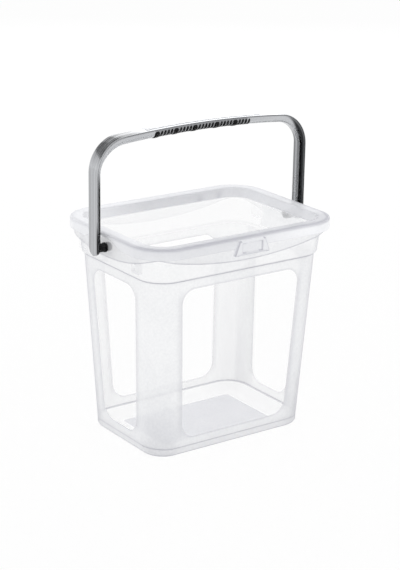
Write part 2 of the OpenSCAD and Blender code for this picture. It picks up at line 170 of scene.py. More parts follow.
def shellOf(rows, heights, cornerSteps, sideSteps, adjust):
    # Closed skin from a profile that runs from one pole to another. Rows hold half
    # width, half depth, corner radius and height, then how much the surface covers
    # and how strongly it is lined with painted shade. adjust gives z by place.
    px, py = ringPoints(rows[:, 0], rows[:, 1], rows[:, 2], cornerSteps, sideSteps)
    pz = adjust(px, py, np.repeat(rows[:, 3:4], px.shape[1], 1))
    n, m = px.shape
    pts = np.stack([px, py, pz], -1).reshape(-1, 3)
    poles = np.array([[0, 0, heights[0]], [0, 0, heights[1]]], float)
    cover, line = (np.append(np.repeat(rows[:, k], m), rows[[0, -1], k]) for k in (4, 5))
    return np.concatenate([pts, poles]), closedFaces(n, m), {"cover": cover, "line": line}


def slabOf(outline, low, high, ease, **values):
    # A flat plate: an outline in x and z carried through its thickness along y, with
    # its edges eased by a small inset of the first and last rows.
    centre = outline.mean(0)
    span = np.linalg.norm(outline - centre, axis=1, keepdims=True)
    inset = centre + (outline - centre) * (1 - ease / span)
    rows = [(inset, low), (outline, low + ease), (outline, high - ease), (inset, high)]
    pts = np.concatenate([np.stack([o[:, 0], np.full(len(o), y), o[:, 1]], -1) for o, y in rows])
    poles = np.array([[centre[0], low, centre[1]], [centre[0], high, centre[1]]])
    return np.concatenate([pts, poles]), closedFaces(len(rows), len(outline)), values


# container: sizes in mm, and how much each skin covers
container = {
    "lidWide": 125.0, "lidDeep": 93.45, "skirtInset": 4.2, "skirtThick": 2.2,
    "webLow": 228.4, "webThick": 1.6, "smileFront": 430.0, "smileFrontLow": 214.9,
    "smileSide": 236.0, "smileSideLow": 214.4, "archRadius": 66.0, "archTop": 239.0,
    "housingGap": 1.5, "wall": 1.8, "cornerSteps": 20, "sideSteps": 48,
    "coverWall": 0.7, "coverBand": 0.5, "coverSkirt": 0.6, "coverInner": 0.34, "coverHidden": 0.16,
    "coverFloor": 0.9, "coverFoot": 0.7, "coverCove": 0.1, "coverNeck": 0.16, "coverBesideStud": 0.6,
    "coverFrame": 0.44, "coverLug": 0.06, "coveMore": 0.1,
    "lugAt": 116.0, "lugHalf": 2.6, "lugLow": 209.5, "lugHigh": 228.2, "lugWide": 12.5,
    "lugStarts": (-58.5, 46.0), "lugLineNear": 0.4, "lugLineFar": 0.1,
    "wallFrom": 9.9, "wallTo": 200.7, "wallHalfWide": 101.4, "wallHalfDeep": 68.7, "wallCorner": 28.0,
}

# heights that stand for the web's underside, the skirt's edge and the web's top until
# their place is known, and how far an eased row may lie from one
standIn = {"under": 1000.0, "edge": 2000.0, "top": 3000.0, "reach": 60.0}


def archHeight(y, radius):
    # Height of the pivot arch above a place on the side, or very low beyond it.
    c = container
    inside = np.clip(radius ** 2 - y ** 2, 0, None)
    return np.where(np.abs(y) < radius * 0.9, c["archTop"] - c["archRadius"] + np.sqrt(inside), -1e3)


def skirtEdge(px, py):
    # Smile curves: low point + x^2-arc at front and back, low point + y^2-arc at the
    # sides, whichever side the place belongs to, and never above the web.
    c = container
    front = c["smileFrontLow"] + c["smileFront"] - np.sqrt(np.clip(c["smileFront"] ** 2 - px ** 2, 0, None))
    side = c["smileSideLow"] + c["smileSide"] - np.sqrt(np.clip(c["smileSide"] ** 2 - py ** 2, 0, None))
    onSide = (np.abs(px) - (c["lidWide"] - 14)) > (np.abs(py) - (c["lidDeep"] - 14))
    return np.minimum(np.where(onSide, side, front), c["webLow"] - 0.15)


def containerRows():
    # The whole profile, out and up from the base's middle and back down to the floor's:
    # half width, half depth, corner radius, height, cover and line, the strength of painted shade at folds,
    # edges and over the inner floor.
    c = container
    w, d, t = c["lidWide"], c["lidDeep"], c["wall"]
    so, si = c["skirtInset"], c["skirtInset"] + c["skirtThick"]
    outer, inner = (w - so, d - so, 38 - so), (w - si, d - si, 38 - si)      # the skirt's two sides
    band = (w - 10, d - 10.25, 29)
    under, edge, top = standIn["under"], standIn["edge"], standIn["top"]
    wl, up, sk, lo, hd = (c["cover" + k] for k in ("Wall", "Band", "Skirt", "Inner", "Hidden"))
    fl, ft, cv, nk = (c["cover" + k] for k in ("Floor", "Foot", "Cove", "Neck"))

    def low(z):                                 # the slanting wall between foot and step
        f = (z - c["wallFrom"]) / (c["wallTo"] - c["wallFrom"])
        x0, y0 = c["wallHalfWide"], c["wallHalfDeep"]
        return x0 + (w - 13.7 - x0) * f, y0 + (d - 14.75 - y0) * f, c["wallCorner"], z

    def lowIn(z):
        x, y, r, _ = low(z)
        return x - t, y - t, r - t, z

    rows = [
        (60, 40, 14, 0, fl, 0), (97.2, 64.5, 22, 0, fl, 0.4), (99.2, 66.5, 24, 1.2, ft, 0.65),
        (100.5, 67.8, 25.3, 3.4, ft, 0.15), (100.9, 68.2, 26.4, 8.4, ft, 0.12),
        (100.9, 68.2, 27.4, 9.2, ft, 0.75), (101.4, 68.7, 28, 9.9, ft, 0.5),
        (*low(10.5), wl, 0.05), (*low(16), wl, 0), (*low(73), wl, 0), (*low(137), wl, 0),
        (*low(198), wl, 0), (*low(200.2), wl, 0.1), (w - 13.7, d - 14.75, 28, 200.7, wl, 0.85),
        (w - 12.3, d - 13.35, 28.3, 202.0, up, 0.7), (w - 11.5, d - 12.55, 28.6, 203.0, up, 0.03),
        (w - 11.2, d - 12.1, 28.7, 207, up, 0), (*band, 222, up, 0),
        (*band, under, hd, 0), (*inner, under, hd, 0), (*inner, edge, hd, 0.1), (*outer, edge, sk, 0.85),
        (*outer, edge + 1.8, sk, 0.05), (*outer, top, sk, 0), (*band, top, hd, 0), (*band, 236.6, hd, 0),
        (w - 8.8, d - 9.05, 30.2, 237.3, hd, 0), (w - 8.8, d - 9.05, 30.2, 239.85, hd, 0),
        (w - 10 - t, d - 10.25 - t, 29 - t, 239.85, nk, 0), (w - 10 - t, d - 10.25 - t, 29 - t, 222, nk, 0),
        (w - 11.5 - t, d - 12.55 - t, 28.6 - t, 203.3, nk, 0),
        (w - 13.7 - t, d - 14.75 - t, 28 - t, 200.7, hd, 0.13),
        (*lowIn(198), lo, 0), (*lowIn(16), lo, 0), (*lowIn(10.6), lo, 0.1), (*lowIn(10.1), lo, 0.95),
        (98.0, 65.3, 25.0, 9.4, cv, 0.4), (97.5, 64.8, 24.6, 8.8, cv, 0), (94.5, 62.0, 22.0, 6.2, cv, 0),
        (88.5, 56.5, 17.0, 4.2, cv, 0), (79, 48.5, 9.0, 2.9, cv, 0), (72.5, 42.5, 4.5, 2.45, cv, 0.02),
        (71, 41, 3.5, 2.4, fl, 0.38), (69.5, 39.5, 3.0, 2.4, fl, 0.27), (50, 28, 2.0, 2.4, fl, 0.27),
        (25, 12, 1.0, 2.4, fl, 0.27),
    ]
    bends = {2: 0.8, 3: 1.0, 13: 0.5, 15: 1.2, 18: 0.8, 19: 0.8, 20: 0.7, 21: 0.7, 23: 0.7, 24: 0.7,
             26: 0.5, 27: 0.9, 28: 0.8, 30: 1.5, 31: 1.5, 36: 0.3, 38: 1.5, 39: 1.5, 40: 1.5}
    return rounded(rows, bends)


def containerHeights(px, py, pz):
    # Stand-in heights become the web's underside, the skirt's edge or the web's
    # top at each place; eased rows mix them, so they are mixed back here.
    c = container
    side = np.abs(px) > c["lidWide"] - 30
    high = c["archRadius"] - c["housingGap"]
    low = high - c["webThick"]
    webHigh = c["webLow"] + c["webThick"]
    under = np.where(side, np.maximum(c["webLow"], archHeight(py, low)), c["webLow"])
    top = np.where(side, np.maximum(webHigh, archHeight(py, high)), webHigh)
    out = pz.copy()
    for mark, place in (("under", under), ("edge", skirtEdge(px, py)), ("top", top)):
        above = pz - standIn[mark]
        out = np.where(np.abs(above) < standIn["reach"], place + above, out)
    return out


def makeContainer():
    c = container
    shell = shellOf(containerRows(), (0.0, 2.4), c["cornerSteps"], c["sideSteps"], containerHeights)
    points, _, marks = shell
    x, y, z = np.abs(points).T
    besideStud = (x > 104) & (x < 114) & (y < 38) & (z > 203.5)
    cover = np.where(besideStud, c["coverBesideStud"], marks["cover"])
    inner, cove = (np.isclose(cover, c[key]) for key in ("coverInner", "coverCove"))
    cover = cover + c["coveMore"] * cove * smoothStep(points[:, 0], 40, 70)
    frame = inner & (x > 60) & (y > 30) & (y < 58)         # side wall's inner skin, beside its pane
    marks["cover"] = np.where(frame, c["coverFrame"], cover)
    out = c["skirtInset"] + 0.5
    # the skirt's front left, where painted shade is laid
    skirt = (z > 213) & ((x > c["lidWide"] - out) | (y > c["lidDeep"] - out))
    skirt = skirt * smoothStep(0.7 * points[:, 1] - points[:, 0], -60, 20)
    pillarShade = smoothStep(x, 62, 88) * smoothStep(y, 34, 56) * smoothStep(-z, -95, -30)
    # painted shade: darker on the side wall's inner skin beside its pane, across the skirt's front left, low
    # on the corner pillars and near the foot
    marks["shade"] = 0.45 * frame + 0.35 * skirt + 0.5 * pillarShade + 0.3 * smoothStep(-z, -24, -12)
    parts = [shell]
    low, high, half, wide = c["lugLow"], c["lugHigh"], c["lugHalf"], c["lugWide"]
    for middle in (-c["lugAt"], c["lugAt"]):
        for start in c["lugStarts"]:                       # lugs between wall and skirt
            lug = np.array([(-half, low), (half, low), (half, high), (-half, high)]) + (middle, 0)
            plate = slabOf(lug, start, start + wide, 0.5, cover=c["coverLug"])
            fromX, fromY, fromZ = np.abs(plate[0] - (middle, start + wide / 2, 219.0)).T
            # painted shade lines round the lugs' edges, stronger on the near lugs than on the far ones
            rim = (fromX > 2) & (fromY > 5) | (fromY > 5) & (fromZ > 9)
            plate[2]["line"] = np.where(rim, c["lugLineNear"] if start < 0 else c["lugLineFar"], 0.02)
            parts.append(plate)
    return makePiece("container_shell", parts, "container", ["container"])


containerShell = makeContainer()
print("container built")


# lid: sizes in mm
lid = {
    "wide": 125.0, "deep": 93.45, "corner": 38.0, "flange": 14.5, "top": 241.5, "wall": 1.6,
    "skirtLow": 230.0, "panelLow": 228.6, "panelThick": 1.4, "cornerSteps": 24, "sideSteps": 56,
    "cover": 0.8, "catches": (54.5, 81.2), "catchLong": 4.0, "catchLine": 0.45,
}


def lidHeights(px, py, pz):
    # The outer skirt's lower edge rises into an arch over each pivot.
    arch = archHeight(py, container["archRadius"])
    low = np.where(np.abs(px) > lid["wide"] - 4, np.maximum(lid["skirtLow"], arch), lid["skirtLow"])
    above = pz - standIn["under"]
    return np.where(np.abs(above) < standIn["reach"], low + above, pz)


def makeLid():
    c = lid
    w, d, r, f, t = c["wide"], c["deep"], c["corner"], c["flange"], c["wall"]
    panelLow, panelTop = c["panelLow"], c["panelLow"] + c["panelThick"]
    top, under, edge = c["top"], c["top"] - t, standIn["under"]

    def ring(inset, z, line, cover=c["cover"]):
        return w - inset, d - inset, r - inset, z, cover, line

    # the last numbers of a row are cover and the strength of its lines of painted shade
    rows = [
        (70, 44, 14, panelLow, 0.01, 0), (w - f - 3, d - f - 3, r - f - 1, panelLow, 0.01, 0),
        ring(f - t, panelLow, 0, 0.3), ring(f - t, under, 0), ring(t, under, 0), ring(t, edge, 0.1),
        ring(0, edge, 0.2), ring(0, edge + 0.9, 0), ring(0, top - 3.4, 0.05), ring(0, top - 1.8, 0.4),
        ring(0.5, top - 0.5, 0.62), ring(3.5, top, 0.6), ring(6.5, top, 0.08), ring(f - 3, top, 0.08),
        ring(f - 1, top - 0.05, 0.3), ring(f, top - 0.9, 0.05), ring(f, panelTop + 2.5, 0),
        ring(f, panelTop + 0.6, 0.15), ring(f + 0.4, panelTop, 0.1, 0.3),
        (w - f - 3, d - f - 3, r - f - 1, panelTop, 0.02, 0), (70, 44, 14, panelTop, 0.01, 0),
    ]
    bends = {2: 0.7, 3: 0.5, 4: 0.5, 6: 0.4, 9: 0.6, 10: 0.6, 11: 0.6, 14: 0.3, 15: 0.3, 17: 0.3}
    rows = rounded(rows, bends, 4)
    shell = shellOf(rows, (panelLow, panelTop), c["cornerSteps"], c["sideSteps"], lidHeights)
    points, _, marks = shell
    x, y, z = points.T
    # painted light and shade on the lid: the skirt paler towards the right and at the far left, the top
    # darker at the front and towards the right, the plug wall darker away from the left
    across = x - 0.7 * y
    paintedLit = np.maximum(smoothStep(across, 30, 150), 0.6 * smoothStep(-across, 60, 150))
    front = smoothStep(-y, 50, 72)
    onTop = z > top - 0.3
    plug = (np.abs(x) < w - f + 1.2) & (np.abs(y) < d - f + 1.2) & (z > panelTop + 0.4) & ~onTop
    plugShade = 0.3 + 0.45 * smoothStep(x, -90, -10) - 0.15 * smoothStep(x, 40, 100)
    topShade = 0.3 + 0.15 * smoothStep(x, -60, 20) * (1 - front) + 0.58 * front
    marks["shade"] = np.where(plug, plugShade, np.where(onTop, topShade, 0.5 - 0.5 * paintedLit))
    # painted shade lines on the lid's upper edges, strongest at the front
    rim = np.where(z > top - 4, 0.4 + 0.35 * smoothStep(-y, 0, 50) + 0.25 * front, 1)
    first, second = (np.exp(-((x - at) / c["catchLong"]) ** 2) for at in c["catches"])
    catches = plug * (y > 70) * (z < panelTop + 3.2) * (first + second)    # on the far inner wall
    marks["line"] = np.maximum(marks["line"] * rim, c["catchLine"] * catches)
    board = tabPart()
    # painted shade on the lift tab, paler than on the skirt
    board[2]["shade"] = 0.35
    return makePiece("lid_shell", [shell, board], "lid", ["lid"])


tab = {
    "halfLow": 23.5, "halfHigh": 17.0, "low": 222.0, "high": 238.6, "proud": 2.7, "fieldHalf": 12.7,
    "fieldLow": 225.4, "fieldHigh": 235.2, "fieldDeep": 1.5, "edgeLong": 1.6, "corner": 2.5,
    "columns": 97, "rows": 57,
}


def tabPart():
    # Lift tab: a grid over a trapezoid. It rises from the lid's skirt as the quarter
    # circle sqrt(1-(1-t)^2) of the distance to its border, and the sunk field falls
    # back by a smooth step 3t^2-2t^3 of the distance inside the field's border.
    c = tab
    u, v = np.meshgrid(np.linspace(-1, 1, c["columns"]), np.linspace(0, 1, c["rows"]))
    u = np.sign(u) * (1 - (1 - np.abs(u)) ** 1.15)
    high = c["high"] - c["low"]
    z = c["low"] + high * v
    half = c["halfLow"] + (c["halfHigh"] - c["halfLow"]) * v
    trim = np.clip(1 - v * high / c["corner"], 0, 1)
    half = half - c["corner"] * (1 - np.sqrt(np.clip(1 - trim ** 2, 0, 1)))
    x = u * half
    border = np.minimum(np.minimum((1 - np.abs(u)) * half, v * high), (1 - v) * high)
    rise = np.sqrt(1 - (1 - np.clip(border / c["edgeLong"], 0, 1)) ** 2)
    inside = np.minimum(np.minimum(c["fieldHalf"] - np.abs(x), z - c["fieldLow"]), c["fieldHigh"] - z)
    sunk = smoothStep(inside / 0.9 + 0.5, 0, 1)
    skin = lid["deep"] - 0.25
    y = -(skin + (c["proud"] + 0.25) * rise - c["fieldDeep"] * sunk)
    back = np.full_like(y, -(skin - 1.2))
    # painted shade lines on the leaning ends, the lower lip and the field's corners
    ends = np.exp(-((border - 0.8) / 0.8) ** 2) * (np.abs(u) > 0.8) * 0.7
    lip = np.exp(-((z - 223.6) / 1.0) ** 2) * 0.4 * (np.abs(x) < c["fieldHalf"] + 6)
    field = np.exp(-((inside + 0.1) / 0.7) ** 2) * np.where(np.abs(x) > c["fieldHalf"] - 4.5, 0.6, 0.16)
    line = np.clip(ends + lip + field, 0, 1)
    n, m = x.shape
    front = np.stack([x, y, z], -1).reshape(-1, 3)
    rear = np.stack([x, back, z], -1).reshape(-1, 3)
    rim = np.concatenate([np.arange(m), np.arange(1, n) * m + m - 1,
                          (n - 1) * m + np.arange(m - 2, -1, -1), np.arange(n - 2, 0, -1) * m])
    side = np.stack([rim, rim + n * m, np.roll(rim, -1) + n * m, np.roll(rim, -1)], -1)
    faces = [gridFaces(n, m, wrapCols=False), gridFaces(n, m, wrapCols=False, flip=True) + n * m, side]
    line = np.append(line, np.zeros(n * m))
    return np.concatenate([front, rear]), faces, {"cover": lid["cover"], "line": line}


lidShell = makeLid()
print("lid built")


# bow handle: sizes in mm, numbers of steps, and strengths of its painted reflections and shade
bow = {
    "armOut": 136.4, "top": 347.7, "upperArch": 1150.0,
    "outerCorner": 38.0, "halfWide": 9.0, "tip": 9.2, "tipMiddle": 226.8, "pivot": 225.0,
    "crown": 0.35, "ease": 0.5, "strapThick": 1.3, "step": 0.7,
    "bellyArm": 6.4, "bellyBar": 10.2, "bellyTip": 3.6, "squareness": 2.8,
    "padHalfLong": 75.0, "padHalfWide": 6.25, "padRise": 0.45, "padFrom": 335.0,
    "ridge": 0.2, "ridgePitch": 2.1, "dash": 11.0,
    "armSteps": 40, "tipSteps": 14, "cornerSteps": 30, "barSteps": 260,
    "flank": 0.97, "soft": 0.64, "back": 0.7, "underGrip": 0.5, "gripFrom": -65.0, "gripTo": 55.5,
}


def bowLine(face, corner, arch, topZ, lowZ):
    # One face of the bow in x and z: up the arm, round the corner's arc and along the
    # slow arch, tangent where they meet, then the same mirrored.
    c = bow
    cx, centre = face - corner, topZ - arch
    cz = centre + math.sqrt((arch - corner) ** 2 - cx ** 2)
    lean = math.atan2(cz - centre, cx)
    bend = np.linspace(0, math.pi / 2, c["tipSteps"])
    join = c["pivot"] + 10
    straight = np.linspace(join, cz, c["armSteps"] - c["tipSteps"] + 1)[1:]
    armZ = np.concatenate([lowZ + (join - lowZ) * (1 - np.cos(bend)), straight])
    arm = np.stack([np.full(len(armZ), face), armZ], -1)
    a = np.linspace(0, lean, c["cornerSteps"] + 1)[1:]
    turn = np.stack([cx + corner * np.cos(a), cz + corner * np.sin(a)], -1)
    b = np.linspace(lean, math.pi / 2, c["barSteps"] // 2 + 1)[1:]
    bar = np.stack([arch * np.cos(b), centre + arch * np.sin(b)], -1)
    half = np.concatenate([arm, turn, bar])
    return np.concatenate([half, half[-2::-1] * (-1, 1)])


def bellyCurve(half, deep, phi):
    # Rounded back of the strap: |y/h|^k + |(n - strap)/(deep - strap)|^k = 1.
    k = 2 / bow["squareness"]
    y = (half - bow["step"]) * np.sign(np.cos(phi)) * np.abs(np.cos(phi)) ** k
    n = -bow["strapThick"] - (deep - bow["strapThick"]) * np.abs(np.sin(phi)) ** k
    return y, n


def bowSection(half, deep, placeX, upper):
    # Section for every place along the bow: a slightly crowned face, a strap with
    # eased edges, a step under it and a rounded belly on the inner side. The face
    # carries the pad: ridges cos(2 pi y / pitch) cut into dashes that drift with x.
    c = bow
    half, deep, placeX, upper = (v[:, None] for v in (half, deep, placeX, upper))
    f = np.linspace(-1, 1, 73)[None, :]
    faceY = f * (half - c["ease"])
    faceN = -c["crown"] * f ** 2 + 0 * half
    inPad = smoothStep(c["padHalfWide"] - np.abs(faceY), 0, 0.6)
    inPad = inPad * smoothStep(c["padHalfLong"] - np.abs(placeX), 0, 2.5) * upper
    row = np.round(faceY / c["ridgePitch"])
    dashes = smoothStep(np.sin(2 * math.pi * (placeX / c["dash"] + 0.38 * row)), -0.75, -0.35)
    ridges = (0.5 + 0.5 * np.cos(2 * math.pi * faceY / c["ridgePitch"])) * dashes
    faceN = faceN + inPad * (c["padRise"] + c["ridge"] * ridges)
    arc = np.linspace(0, math.pi / 2, 5)[None, 1:]
    rimY = (half - c["ease"]) + c["ease"] * np.sin(arc)
    rimN = -c["crown"] - c["ease"] * (1 - np.cos(arc)) + 0 * half
    lipY = np.concatenate([half, half - 0.25], 1)
    lipN = np.concatenate([0 * half - c["strapThick"] + 0.3, 0 * half - c["strapThick"]], 1)
    bellyY, bellyN = bellyCurve(half, deep, np.linspace(0, math.pi, 37)[None, :])
    y = np.concatenate([faceY, rimY, lipY, bellyY, -lipY[:, ::-1], -rimY[:, ::-1]], 1)
    n = np.concatenate([faceN, rimN, lipN, bellyN, lipN[:, ::-1], rimN[:, ::-1]], 1)
    # painted shade in the furrows between the pad's ridges
    padFurrowShade = np.zeros_like(y)
    padFurrowShade[:, :f.shape[1]] = inPad * (1 - ridges) ** 1.5 * 0.6
    return y, n, padFurrowShade


def bowShadeAndReflections(line, up, share, y, n, deep):
    # Painted reflections and shade on the silver, from 0 to 1: dark reflections painted on
    # the belly's flanks on the arms and round the right corner, on the ground between the grip's
    # slots, on the left corner's outer face, in streaks on the lower arms' faces and on the left arm's
    # front edge low down; painted shade along the strap's edges and low on the belly. Round the belly a
    # place is share / (share + part of the depth): 1 at the strap, 0 inside.
    c = bow
    x, z = line[:, :1], line[:, 1:]
    belly = smoothStep(-n, c["strapThick"] - 0.1, c["strapThick"] + 0.3)
    face = smoothStep(n, -0.9, -0.5)
    arm = np.maximum(smoothStep(-z, -318, -286), smoothStep(x, 60, 100))
    part = np.clip((-n - c["strapThick"]) / (deep - c["strapThick"]), 0, 1)
    around = share / (share + part + 1e-6)
    begin = 0.34 + 0.68 * np.clip(up, 0, 1) ** 3
    flank = c["flank"] * smoothStep(around, begin - 0.14, begin + 0.1) * (y < 0)
    flank = flank * (1 - 0.25 * smoothStep(around, 0.72, 0.9) * (x > 0) * smoothStep(z, 235, 262))
    soft = c["soft"] * (1 - np.exp(-((y - 0.6) / 1.2) ** 2)) * smoothStep(-up, -0.85, -0.2)
    back = c["back"] * smoothStep(y, 2.5, 5) * smoothStep(-up, -0.985, -0.8) * smoothStep(up, 0.2, 0.5)
    dark = belly * arm * np.maximum(np.maximum(flank, soft), back)
    inGrip = (x > c["gripFrom"]) & (x < c["gripTo"]) & (z > 330)
    under = belly * c["underGrip"] * smoothStep(4 - np.abs(around - 0.5) * 6, 0, 1) * inGrip
    lowDown = smoothStep(-z, -262, -236)
    foot = belly * lowDown * smoothStep(share, 0.2, 0.5)
    edge = (1 - belly) * (1 - face) * (0.55 + 0.2 * smoothStep(-up, -0.98, -0.7) * (x > 0))
    turn = face * smoothStep(up, 0.02, 0.75) * smoothStep(-x, 62, 100)
    turn = turn * (0.46 + 0.34 * smoothStep(up, 0.7, 0.97))
    turn = turn * (0.95 + 0.28 * np.cos(y * 1.9) - 0.2 * np.cos(y * 0.75 + 1))
    streak = 0.1 + 0.1 * np.cos(y * 1.35 + 0.6) + 0.22 * smoothStep(y, 2, 8)
    streak = face * smoothStep(-up, -0.3, 0) * streak
    front = 0.95 * (1 - belly) * smoothStep(-y, 6.2, 7.4) * lowDown * (x < 0)
    return np.clip(np.max([dark, under, foot, edge + 0 * y, turn, streak, front], axis=0), 0, 1)


def makeBow():
    # The section is carried along the outer line, square to it, and is drawn in to the
    # circle sqrt(r^2 - drop^2) at the arms' rounded tips.
    c = bow
    lowZ = c["tipMiddle"] - c["tip"] + 0.02
    outer = bowLine(c["armOut"], c["outerCorner"], c["upperArch"], c["top"], lowZ)
    tangent = np.gradient(outer, axis=0)
    tangent /= np.linalg.norm(tangent, axis=1)[:, None]
    normal = np.stack([tangent[:, 1], -tangent[:, 0]], -1)
    drop = np.clip(outer[:, 1] - c["tipMiddle"], None, 0)
    half = np.minimum(c["halfWide"], np.sqrt(np.clip(c["tip"] ** 2 - drop ** 2, 1.6, None)))
    deep = c["bellyArm"] + (c["bellyBar"] - c["bellyArm"]) * smoothStep(normal[:, 1], 0, 1)
    deep = c["bellyTip"] + (deep - c["bellyTip"]) * np.clip(half / c["halfWide"], 0, 1) ** 0.6
    upper = (outer[:, 1] > c["padFrom"]).astype(float)
    y, n, padFurrowShade = bowSection(half, deep, outer[:, 0], upper)
    # painted reflections and shade on the silver
    dark = bowShadeAndReflections(outer, normal[:, 1:], np.abs(y) / half[:, None], y, n, deep[:, None])
    px = outer[:, :1] + normal[:, :1] * n
    pz = outer[:, 1:] + normal[:, 1:] * n
    rows, cols = px.shape
    pts = np.stack([px, y, pz], -1).reshape(-1, 3)
    ends = np.array([[(px[k].max() + px[k].min()) / 2, 0, lowZ] for k in (0, -1)])
    along = np.concatenate([[0], np.cumsum(np.linalg.norm(np.diff(outer, axis=0), axis=1))])
    values = {"along": np.append(np.repeat(along, cols), (0, along[-1]))}
    for key, value in (("across", y), ("depth", n), ("padFurrowShade", padFurrowShade), ("dark", dark)):
        values[key] = np.append(value.ravel(), (0, 0))
    strap = (np.concatenate([pts, ends]), closedFaces(rows, cols), values)
    return makePiece("bow_strap", [strap], "handle", ["handle"], 50)


bowStrap = makeBow()
print("bow built")


# grip: sizes in mm along the bar, and the lean of its slots in degrees
grip = {
    "from": -65.6, "runs": (4, 4, 5, 4, 4), "pitch": 4.2, "dotWide": 7.3, "dotGap": 0.9, "slotWide": 3.2,
    "lean": 6.0, "dotLean": 0.0, "proud": 0.25, "dotProud": 0.75, "sunk": 0.8,
    "roundSteps": 33, "loopSteps": 14,
}


def gripRib(at, wide, lean, proud):
    # A black rib that follows the belly round from the front edge to the back one. It
    # leans by x += (depth - middle) tan(lean), and its section is a flat rounded loop.
    c, b = grip, bow
    phi = np.linspace(0.1, math.pi - 0.1, c["roundSteps"])
    deep = b["bellyBar"]
    y, n = bellyCurve(b["halfWide"], deep, phi)
    dy, dn = np.gradient(y), np.gradient(n)
    long = np.hypot(dy, dn)
    outY, outN = -dn / long, dy / long                   # away from the belly
    sign = np.where(outY * y + outN * (n + 3) < 0, -1, 1)
    outY, outN = outY * sign, outN * sign
    a = np.linspace(0, 2 * math.pi, c["loopSteps"], endpoint=False)
    loopX = wide / 2 * np.sign(np.cos(a)) * np.abs(np.cos(a)) ** 0.6
    loopH = (proud + c["sunk"]) / 2 * np.sign(np.sin(a)) * np.abs(np.sin(a)) ** 0.6
    loopH = loopH + (proud - c["sunk"]) / 2
    fade = np.sqrt(np.clip(np.minimum(phi - 0.09, math.pi - 0.09 - phi) / 0.2, 0.02, 1))[:, None]
    high = loopH[None, :] * fade
    lean = math.tan(math.radians(lean))
    x = at + loopX[None, :] * (0.35 + 0.65 * fade) + ((n + (b["strapThick"] + deep) / 2) * lean)[:, None]
    yy = y[:, None] + outY[:, None] * high
    z = b["top"] - x ** 2 / (2 * b["upperArch"]) + n[:, None] + outN[:, None] * high
    rows, cols = x.shape
    pts = np.stack([x, yy, z], -1)
    poles = pts[[0, -1]].mean(1)
    return np.concatenate([pts.reshape(-1, 3), poles]), closedFaces(rows, cols, flip=True), {}


def makeGrip():
    # Each run is one wide finger stud and then its slanting slots.
    c = grip
    parts, at = [], c["from"]
    for slots in c["runs"]:
        parts.append(gripRib(at + c["dotWide"] / 2, c["dotWide"] - c["dotGap"], c["dotLean"], c["dotProud"]))
        at += c["dotWide"]
        for _ in range(slots):
            parts.append(gripRib(at + c["pitch"] / 2, c["slotWide"], c["lean"], c["proud"]))
            at += c["pitch"]
    return makePiece("grip_ribs", parts, "handle", ["grip_insert"], 60)


gripBars = makeGrip()
print("grip built")


# pivot studs: sizes in mm along and round the pivot axis
stud = {
    "armIn": 132.0, "face": 121.0, "radius": 5.3, "neck": 4.7, "rimLong": 2.9, "shaft": 3.5,
    "headFrom": 118.5, "headTo": 115.5, "head": 5.0, "headTip": 4.2, "notch": 0.75, "notchRadius": 3.4,
    "split": 0.7, "steps": 120,
}


def makeStud(name, side):
    # Turned profile about the pivot axis: neck, slotted rim against the skirt, shaft
    # and split head. The last number of a row is 1 on the rim and 2 on the head, where
    # the slots are flats at which the radius is cut back.
    c = stud
    rim = c["face"] + c["rimLong"]
    face, neck, shaft, radius = c["face"], c["neck"], c["shaft"], c["radius"]
    rows = np.array([
        (c["armIn"] + 0.8, 4.2, 0), (c["armIn"] - 0.1, neck, 0),
        (rim + 0.6, neck, 0), (rim + 0.1, neck + 0.1, 0),
        (rim - 0.1, radius - 0.15, 1), (rim - 0.5, radius, 1), (face + 0.5, radius, 1),
        (face + 0.1, radius - 0.4, 1), (face, radius - 0.9, 1), (face, shaft + 0.1, 0),
        (face - 0.2, shaft, 0), (c["headFrom"], shaft, 0), (c["headFrom"], c["head"] - 0.3, 2),
        (c["headFrom"] - 0.3, c["head"], 2), (c["headTo"] + 0.3, c["headTip"] + 0.1, 2),
        (c["headTo"], c["headTip"] - 0.4, 2),
    ])
    a = np.linspace(0, 2 * math.pi, c["steps"], endpoint=False)[None, :]
    radius = np.repeat(rows[:, 1:2], c["steps"], 1)
    flat = (rows[:, 2:] == 1) & (np.abs(radius * np.sin(a)) < c["notch"])
    radius = np.where(flat, np.minimum(radius, c["notchRadius"] + 0.15), radius)
    gap = (rows[:, 2:] == 2) & (np.abs(radius * np.cos(a)) < c["split"])
    radius = np.where(gap, np.minimum(radius, shaft - 0.4), radius)
    x = np.repeat(side * rows[:, :1], c["steps"], 1)
    pts = np.stack([x, radius * np.cos(a), bow["pivot"] + radius * np.sin(a)], -1).reshape(-1, 3)
    poles = np.array([(side * rows[k, 0], 0, bow["pivot"]) for k in (0, -1)])
    turned = (np.concatenate([pts, poles]), closedFaces(*radius.shape, flip=side > 0), {})
    return makePiece(name + "_turned", [turned], "handle", [name], 40)


studPieces = [makeStud("stud_left", -1), makeStud("stud_right", 1)]
print("studs built")


# materials
def addNode(tree, kind, inputs=None, **settings):
    # One node, with its settings, and its inputs by name or number from plain values
    # or from other nodes' outputs.
    node = tree.nodes.new(kind)
    for key, value in settings.items():
        setattr(node, key, value)
    for key, value in (inputs or {}).items():
        if isinstance(value, bpy.types.NodeSocket):
            wire(tree, value, node.inputs[key])
        else:
            node.inputs[key].default_value = value
    return node


def wire(tree, source, target):
    tree.links.new(source, target)


def maths(tree, operation, *values, clamp=False):
    inputs = dict(enumerate(values))
    return addNode(tree, "ShaderNodeMath", inputs, operation=operation, use_clamp=clamp).outputs[0]


def most(tree, first, *others):
    # The largest of several values.
    for other in others:
        first = maths(tree, "MAXIMUM", first, other)
    return first


def anyRay(tree, *kinds):
    # 1 for a light ray of any of these kinds.
    path = addNode(tree, "ShaderNodeLightPath").outputs
    return most(tree, *(path["Is " + kind + " Ray"] for kind in kinds))


